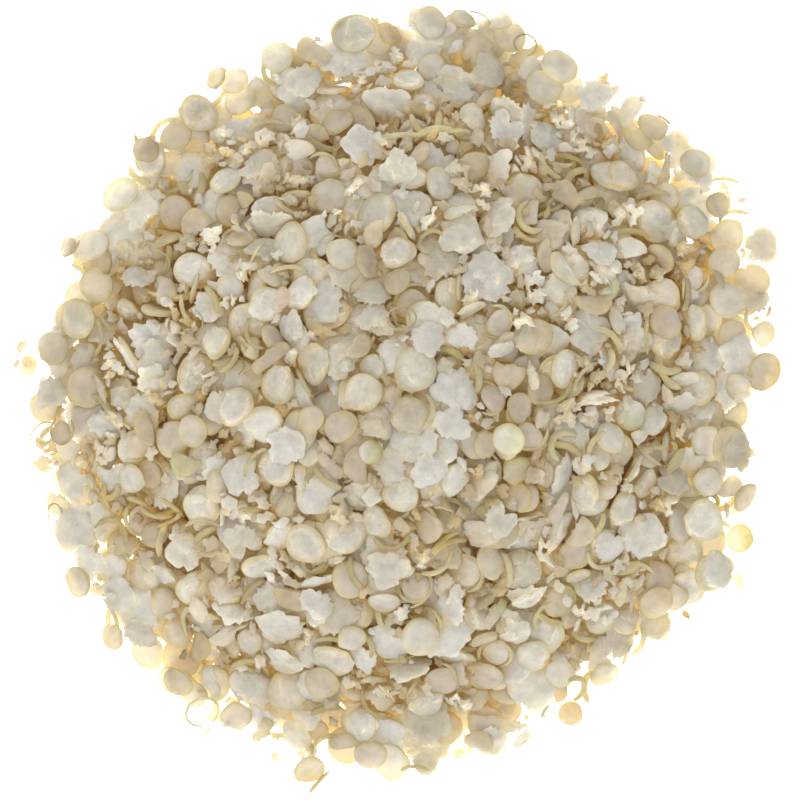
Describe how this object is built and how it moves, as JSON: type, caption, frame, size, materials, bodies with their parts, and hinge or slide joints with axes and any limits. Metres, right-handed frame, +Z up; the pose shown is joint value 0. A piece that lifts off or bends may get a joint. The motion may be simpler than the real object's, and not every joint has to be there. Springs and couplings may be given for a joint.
{
  "type": "heap of quinoa flakes",
  "caption": "Loose round heap of pale rolled quinoa flakes, wide and low with an uneven edge, lying on its flat base.",
  "frame": {"origin": "on the surface that the heap lies on, under the middle of its bounding box", "axes": "+Z up; seen from above, +Y is the top of the heap and +X its right"},
  "size_m": [0.0556, 0.0564, 0.0137],
  "materials": {
    "quinoa_flakes": "dry and matt, chalky white to cream, a little translucent at thin edges"
  },
  "bodies": {
    "root": {"flake_heap": "quinoa_flakes"}
  },
  "joints": []
}
